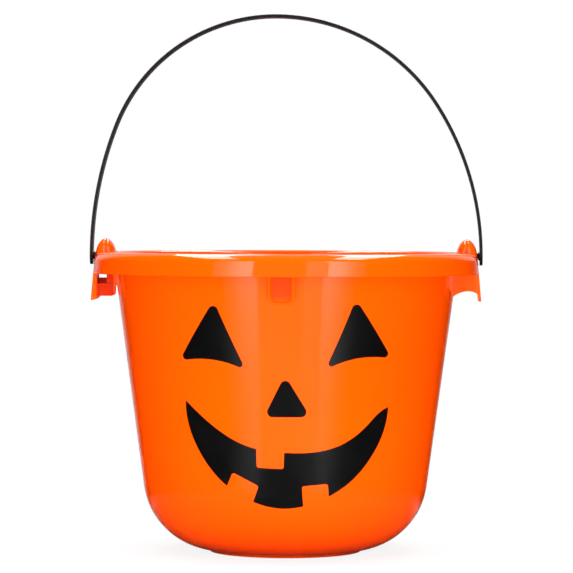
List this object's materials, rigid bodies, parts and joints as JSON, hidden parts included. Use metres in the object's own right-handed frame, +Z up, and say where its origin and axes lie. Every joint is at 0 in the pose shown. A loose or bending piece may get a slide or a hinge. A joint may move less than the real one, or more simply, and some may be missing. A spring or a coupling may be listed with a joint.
{
  "type": "candy pail",
  "caption": "Orange moulded plastic candy pail with a printed jack-o'-lantern face and a black strap handle that swings on snap studs",
  "frame": {"origin": "on the table under the axis of the pail", "axes": "+Z up along the axis of the pail, +X along the line of the stud holes, the printed face towards -Y"},
  "size_m": [0.2206, 0.2168, 0.3016],
  "materials": {
    "orange_plastic": "gloss",
    "black_plastic": "satin",
    "black_ink": "gloss"
  },
  "bodies": {
    "pail": {"pail_body": "orange_plastic", "left_eye_print": "black_ink", "right_eye_print": "black_ink", "nose_print": "black_ink", "mouth_print": "black_ink"},
    "handle": {"handle_strap": "black_plastic"}
  },
  "joints": [
    {"name": "handle_swing", "type": "hinge", "parent": "pail", "child": "handle", "pos_m": [0, 0, 0.1661], "axis": [1, 0, 0], "range_deg": [-116, 119]}
  ]
}
